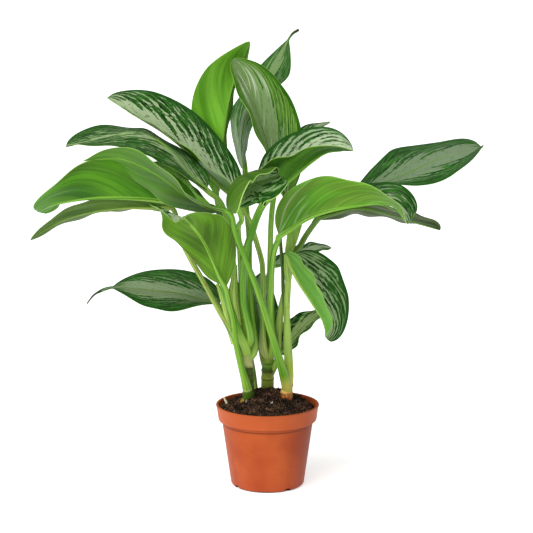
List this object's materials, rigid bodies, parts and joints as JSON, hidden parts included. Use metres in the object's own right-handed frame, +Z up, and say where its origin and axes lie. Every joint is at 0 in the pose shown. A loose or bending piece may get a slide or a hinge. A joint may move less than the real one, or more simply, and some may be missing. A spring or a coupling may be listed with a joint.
{
  "type": "potted chinese evergreen",
  "caption": "Leafy indoor plant with broad pointed striped leaves on long stalks, standing on ringed canes in the soil of a tapered round nursery pot.",
  "frame": {"origin": "centre of the pot's flat bottom face", "axes": "+Z up along the pot's axis, -Y the front that the picture shows, +X the picture's right"},
  "size_m": [0.6578, 0.3393, 0.6555],
  "materials": {
    "pot": "satin terracotta-coloured moulded plastic",
    "soil": "damp, dark, crumbly potting mix of bark and peat",
    "cane": "smooth green cane with ring scars, pale and papery towards its foot",
    "leaf": "soft-glossy living leaf, dark green with silver-grey stripes above, plain green below",
    "root": "dry pale root"
  },
  "bodies": {
    "root": {"pot": "pot", "cane_left": "cane", "cane_centre": "cane", "cane_right": "cane", "leaf_upper_left": "leaf", "leaf_left": "leaf", "leaf_left_front": "leaf", "leaf_big_left": "leaf", "leaf_low_left": "leaf", "leaf_front": "leaf", "leaf_low_behind": "leaf", "leaf_top_left": "leaf", "leaf_top_centre": "leaf", "leaf_centre_right": "leaf", "leaf_folded": "leaf", "leaf_right": "leaf", "leaf_torn": "leaf", "leaf_far_right": "leaf", "leaf_top_back": "leaf", "leaf_behind_right": "leaf", "leaf_drooping": "leaf", "leaf_back_right": "leaf", "leaf_low_right": "leaf", "leaf_low_back": "leaf", "leaf_small_left": "leaf", "pale_root": "root", "soil": "soil"}
  },
  "joints": []
}
